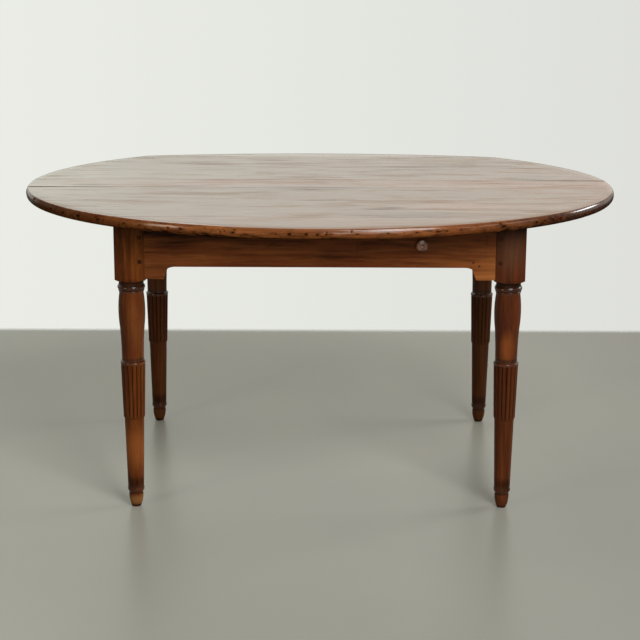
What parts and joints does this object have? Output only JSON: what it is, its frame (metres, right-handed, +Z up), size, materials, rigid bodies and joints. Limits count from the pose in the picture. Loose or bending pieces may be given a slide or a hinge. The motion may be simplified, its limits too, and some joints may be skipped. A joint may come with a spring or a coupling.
{
  "type": "tavern table",
  "caption": "Oval plank-top tavern table on turned legs with reeded drums, pegged aprons with bracket ends and a small frieze drawer with a turned knob.",
  "frame": {"origin": "on the floor, under the middle of the oval top", "axes": "+X along the top's long axis, to the right of someone facing the drawer; +Y from the drawer's side to the far side; +Z up"},
  "size_m": [1.48, 1.056, 0.74],
  "materials": {
    "wood_top": "waxed, worn",
    "wood_frame": "waxed, satin",
    "wood_leg": "turned and waxed, satin",
    "wood_peg": "dry, dark",
    "wood_knob": "turned, worn",
    "wood_raw": "planed, unfinished",
    "steel_screw": "dull, aged"
  },
  "bodies": {
    "table": {"leg_front_left": "wood_leg", "leg_front_right": "wood_leg", "leg_back_right": "wood_leg", "leg_back_left": "wood_leg", "pegs_front_left": "wood_peg", "pegs_front_right": "wood_peg", "pegs_back_right": "wood_peg", "pegs_back_left": "wood_peg", "apron_front": "wood_frame", "apron_right": "wood_frame", "apron_back": "wood_frame", "apron_left": "wood_frame", "board_front_outer": "wood_top", "board_front": "wood_top", "board_middle": "wood_top", "board_back": "wood_top", "board_back_outer": "wood_top", "tongue_front_outer": "wood_raw", "tongue_front_inner": "wood_raw", "tongue_back_inner": "wood_raw", "tongue_back_outer": "wood_raw", "batten_left": "wood_raw", "batten_right": "wood_raw", "top_buttons": "wood_raw", "drawer_runner_left": "wood_raw", "drawer_runner_right": "wood_raw", "drawer_kicker_left": "wood_raw", "drawer_kicker_right": "wood_raw", "drawer_stops": "wood_raw", "button_screws": "steel_screw", "batten_screws": "steel_screw"},
    "drawer": {"drawer_front": "wood_frame", "drawer_side_left": "wood_raw", "drawer_side_right": "wood_raw", "drawer_back": "wood_raw", "drawer_bottom": "wood_raw", "drawer_knob": "wood_knob"}
  },
  "joints": [
    {"name": "drawer_slide", "type": "slide", "parent": "table", "child": "drawer", "axis": [0, -1, 0], "range_m": [0, 0.3]}
  ]
}
